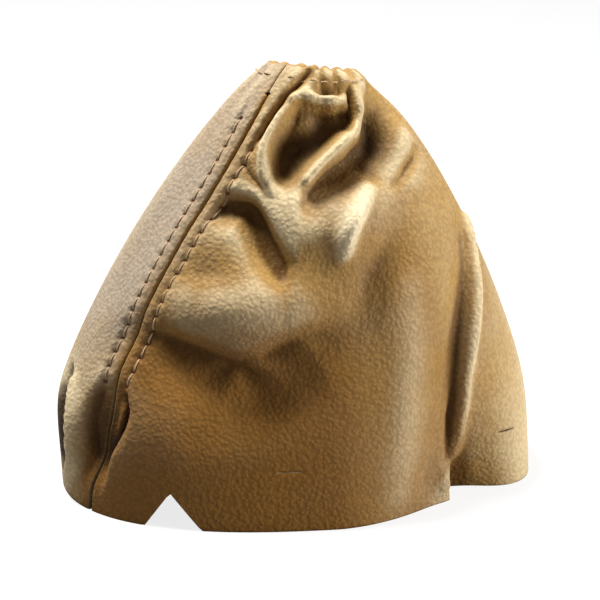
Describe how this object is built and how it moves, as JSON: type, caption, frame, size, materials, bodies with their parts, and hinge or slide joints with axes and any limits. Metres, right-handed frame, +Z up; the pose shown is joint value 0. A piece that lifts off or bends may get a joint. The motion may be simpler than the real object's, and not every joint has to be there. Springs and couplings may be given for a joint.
{
  "type": "handbrake gaiter",
  "caption": "Sewn leather cone that covers the foot of a handbrake lever, with a gathered elastic collar, a topstitched seam and a cut lower edge.",
  "frame": {"origin": "middle of the cut lower edge's outline, on the surface that the cover stands on", "axes": "+X along the long side of the foot, -Y towards the front of the picture, +Z up towards the collar"},
  "size_m": [0.1932, 0.1146, 0.1735],
  "materials": {
    "leather": "pebbled tan leather, satin",
    "elastic": "woven elastic, matt",
    "topstitch_thread": "tan sewing thread, slight sheen",
    "under_thread": "tan sewing thread, matt"
  },
  "bodies": {
    "root": {"leather_panel": "leather", "elastic_band": "elastic", "closing_thread": "under_thread", "topstitch_needle_thread_left": "topstitch_thread", "topstitch_needle_thread_right": "topstitch_thread", "topstitch_bobbin_thread_left": "under_thread", "topstitch_bobbin_thread_right": "under_thread", "hem_needle_thread": "topstitch_thread", "hem_bobbin_thread": "under_thread"}
  },
  "joints": []
}
